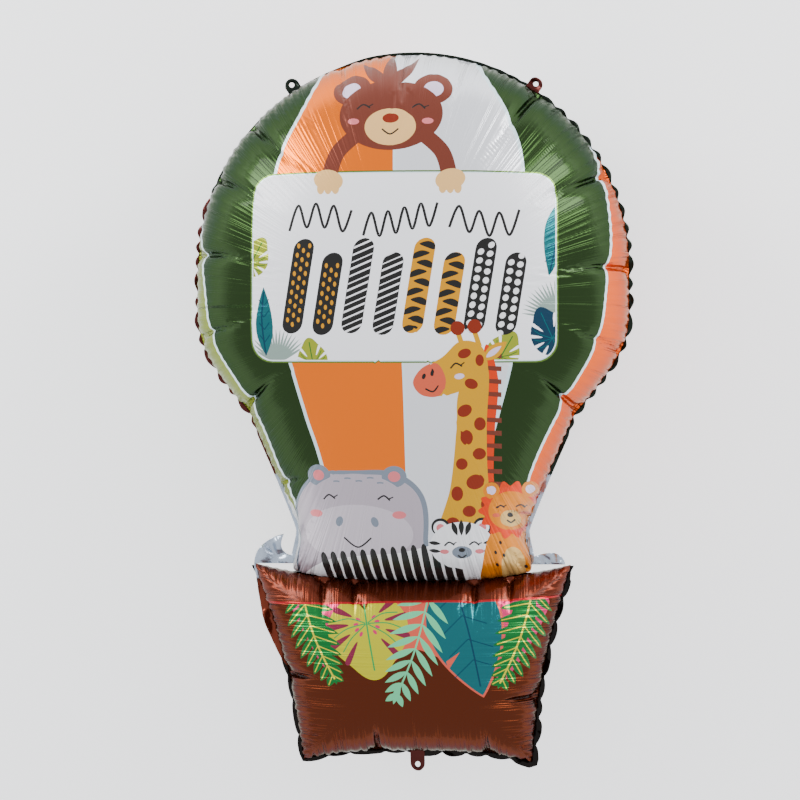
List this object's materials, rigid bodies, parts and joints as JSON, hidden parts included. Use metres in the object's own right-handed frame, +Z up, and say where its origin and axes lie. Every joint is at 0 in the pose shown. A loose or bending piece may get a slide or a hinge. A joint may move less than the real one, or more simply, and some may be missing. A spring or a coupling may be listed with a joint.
{
  "type": "gender reveal foil balloon",
  "caption": "Foil party balloon shaped like a hot-air balloon over a basket, with a scalloped welded margin and eyelet tabs, lying on its back.",
  "frame": {"origin": "on the floor, under the middle of the balloon's outline box", "axes": "+Z up, out of the printed front; +Y along the balloon's length, from the basket to the crown; +X to the right of someone who looks at the print"},
  "size_m": [0.5548, 0.9, 0.3136],
  "materials": {
    "printed_foil": "satin metallic print: dark green, orange, white and brown"
  },
  "bodies": {
    "root": {"foil_balloon": "printed_foil"}
  },
  "joints": []
}
